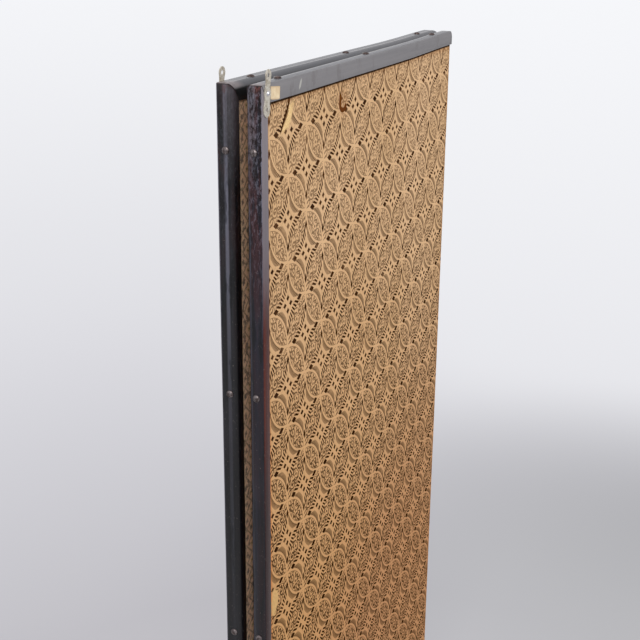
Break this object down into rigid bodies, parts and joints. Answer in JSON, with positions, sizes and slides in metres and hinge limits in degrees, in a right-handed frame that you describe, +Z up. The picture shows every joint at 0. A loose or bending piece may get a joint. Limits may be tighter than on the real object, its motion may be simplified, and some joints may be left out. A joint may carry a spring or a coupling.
{
  "type": "two-leaf folding screen",
  "caption": "Two-leaf byobu folding screen: papered lattice leaves in dark lacquered frames, joined by interleaved paper hinge bands, shown folded face to face.",
  "frame": {"origin": "middle of the near leaf's flat underside, on the floor", "axes": "+X along the near leaf from its free edge to the fold, +Y from the near leaf's back towards the rear leaf, +Z up"},
  "size_m": [0.758, 0.0661, 1.5168],
  "materials": {
    "frame_lacquer": "dark lacquer, satin, rubbed brown at the edges",
    "core_wood": "planed softwood",
    "lining_paper": "matte handmade paper",
    "back_paper": "matte paper printed with interlocking circles",
    "picture_paper": "plain aged paper with a soft gold tone",
    "border_brocade": "woven brown brocade",
    "nail_metal": "dark, worn",
    "foot_nail_metal": "plain wire nail",
    "plate_metal": "dull tarnished nickel",
    "screw_metal": "plain bright screw",
    "tag_paper": "blank yellowed paper",
    "hinge_paper": "tough handmade paper"
  },
  "bodies": {
    "near_leaf": {"near_stile": "frame_lacquer", "near_top_rail": "frame_lacquer", "near_bottom_rail": "frame_lacquer", "near_core_free_stile": "core_wood", "near_core_fold_stile": "core_wood", "near_core_top_rail": "core_wood", "near_core_bottom_rail": "core_wood", "near_upright_laths": "core_wood", "near_cross_laths": "core_wood", "near_back_lining": "lining_paper", "near_front_lining": "lining_paper", "near_back_paper": "back_paper", "near_picture_field": "picture_paper", "near_border": "border_brocade", "near_stile_nails": "nail_metal", "near_top_nails": "nail_metal", "near_bottom_nails": "foot_nail_metal", "near_hanging_plate": "plate_metal", "near_plate_screw": "screw_metal", "near_band_tails": "hinge_paper", "near_tag": "tag_paper"},
    "back_bands": {"back_fold_bands": "hinge_paper"},
    "rear_leaf": {"rear_stile": "frame_lacquer", "rear_top_rail": "frame_lacquer", "rear_bottom_rail": "frame_lacquer", "rear_core_free_stile": "core_wood", "rear_core_fold_stile": "core_wood", "rear_core_top_rail": "core_wood", "rear_core_bottom_rail": "core_wood", "rear_upright_laths": "core_wood", "rear_cross_laths": "core_wood", "rear_back_lining": "lining_paper", "rear_front_lining": "lining_paper", "rear_back_paper": "back_paper", "rear_picture_field": "picture_paper", "rear_border": "border_brocade", "rear_stile_nails": "nail_metal", "rear_top_nails": "nail_metal", "rear_bottom_nails": "foot_nail_metal", "rear_hanging_plate": "plate_metal", "rear_plate_screw": "screw_metal", "rear_band_tails": "hinge_paper"},
    "front_bands": {"front_fold_bands": "hinge_paper"}
  },
  "joints": [
    {"name": "back_fold", "type": "hinge", "parent": "near_leaf", "child": "back_bands", "pos_m": [0.3778, -0.01225, 0], "axis": [0, 0, -1], "range_deg": [0, 179.3]},
    {"name": "front_fold", "type": "hinge", "parent": "back_bands", "child": "rear_leaf", "pos_m": [0.3778, 0.01225, 0], "axis": [0, 0, -1], "range_deg": [-1, 179]},
    {"name": "front_band_swing", "type": "hinge", "parent": "rear_leaf", "child": "front_bands", "pos_m": [0.37823, 0.03675, 0], "axis": [0, 0, 1], "range_deg": [0, 179.3]}
  ],
  "couplings": [
    {"joint": "front_band_swing", "follows": "back_fold", "ratio": 1}
  ]
}
